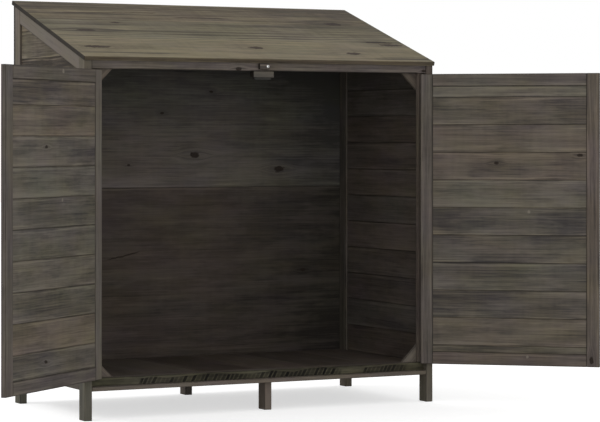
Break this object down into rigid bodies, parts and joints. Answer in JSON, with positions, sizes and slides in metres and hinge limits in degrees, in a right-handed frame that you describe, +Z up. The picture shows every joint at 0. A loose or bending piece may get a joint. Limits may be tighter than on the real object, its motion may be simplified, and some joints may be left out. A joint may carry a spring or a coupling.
{
  "type": "garden storage cabinet",
  "caption": "Low wooden garden cabinet on short legs with a sloping board roof, level slat walls, a boarded floor and framed doors that open wide.",
  "frame": {"origin": "on the ground, on the middle line of the cabinet, at the middle of the row of rear feet", "axes": "+Z up, +X to the right and -Y out of the door opening, as seen from the front"},
  "size_m": [1.6806, 0.845, 1.0869],
  "materials": {
    "frame_wood": "dark grey-brown stain on sawn softwood, matt",
    "slat_wood": "dark grey-brown stain on planed softwood slats, matt",
    "back_wood": "dark stain on wide glued softwood boards, matt",
    "floor_wood": "dark stain on softwood floor boards, matt",
    "roof_wood": "weathered grey-brown stain on softwood roof boards, matt",
    "hinge_steel": "galvanised sheet steel",
    "screw_steel": "bright zinc-plated screws",
    "washer_plastic": "matt"
  },
  "bodies": {
    "cabinet": {"back_panel_lower": "back_wood", "back_panel_upper": "back_wood", "door_stop_block": "frame_wood", "floor_board_1": "floor_wood", "floor_board_2": "floor_wood", "floor_board_3": "floor_wood", "floor_board_4": "floor_wood", "floor_board_5": "floor_wood", "floor_board_6": "floor_wood", "floor_front_batten": "frame_wood", "floor_front_bearer": "frame_wood", "floor_rear_bearer": "frame_wood", "front_bottom_rail": "frame_wood", "front_left_post": "frame_wood", "front_middle_leg": "frame_wood", "front_right_post": "frame_wood", "front_top_rail": "frame_wood", "left_bottom_rail": "frame_wood", "left_frame_hinge_leaves": "hinge_steel", "left_frame_hinge_screws": "screw_steel", "left_hinge_pins": "hinge_steel", "left_lower_gusset": "frame_wood", "left_rake_rail": "frame_wood", "left_side_slats": "slat_wood", "left_stop_batten": "frame_wood", "left_upper_gusset": "frame_wood", "rear_bottom_rail": "frame_wood", "rear_left_post": "frame_wood", "rear_middle_leg": "frame_wood", "rear_right_post": "frame_wood", "rear_top_rail": "frame_wood", "right_bottom_rail": "frame_wood", "right_frame_hinge_leaves": "hinge_steel", "right_frame_hinge_screws": "screw_steel", "right_hinge_pins": "hinge_steel", "right_lower_gusset": "frame_wood", "right_rake_rail": "frame_wood", "right_side_slats": "slat_wood", "right_stop_batten": "frame_wood", "right_upper_gusset": "frame_wood", "roof_board_1": "roof_wood", "roof_board_2": "roof_wood", "roof_board_3": "roof_wood", "turn_button_screw": "screw_steel", "turn_button_washer": "washer_plastic"},
    "left_door": {"left_door_bottom_rail": "frame_wood", "left_door_free_stile": "frame_wood", "left_door_hinge_leaves": "hinge_steel", "left_door_hinge_screws": "screw_steel", "left_door_hinge_stile": "frame_wood", "left_door_slats": "slat_wood", "left_door_top_rail": "frame_wood"},
    "right_door": {"right_door_bottom_rail": "frame_wood", "right_door_free_stile": "frame_wood", "right_door_hinge_leaves": "hinge_steel", "right_door_hinge_screws": "screw_steel", "right_door_hinge_stile": "frame_wood", "right_door_slats": "slat_wood", "right_door_top_rail": "frame_wood"},
    "turn_button": {"turn_button": "frame_wood"}
  },
  "joints": [
    {"name": "left_door_hinge", "type": "hinge", "parent": "cabinet", "child": "left_door", "pos_m": [-0.4785, -0.4844, 0.4965], "axis": [0, 0, -1], "range_deg": [-140, 35]},
    {"name": "right_door_hinge", "type": "hinge", "parent": "cabinet", "child": "right_door", "pos_m": [0.4785, -0.4844, 0.4965], "axis": [0, 0, 1], "range_deg": [-139, 36]},
    {"name": "turn_button_pivot", "type": "hinge", "parent": "cabinet", "child": "turn_button", "pos_m": [0.0045, -0.4865, 0.9017], "axis": [0, -1, 0], "range_deg": [0, 90]}
  ]
}
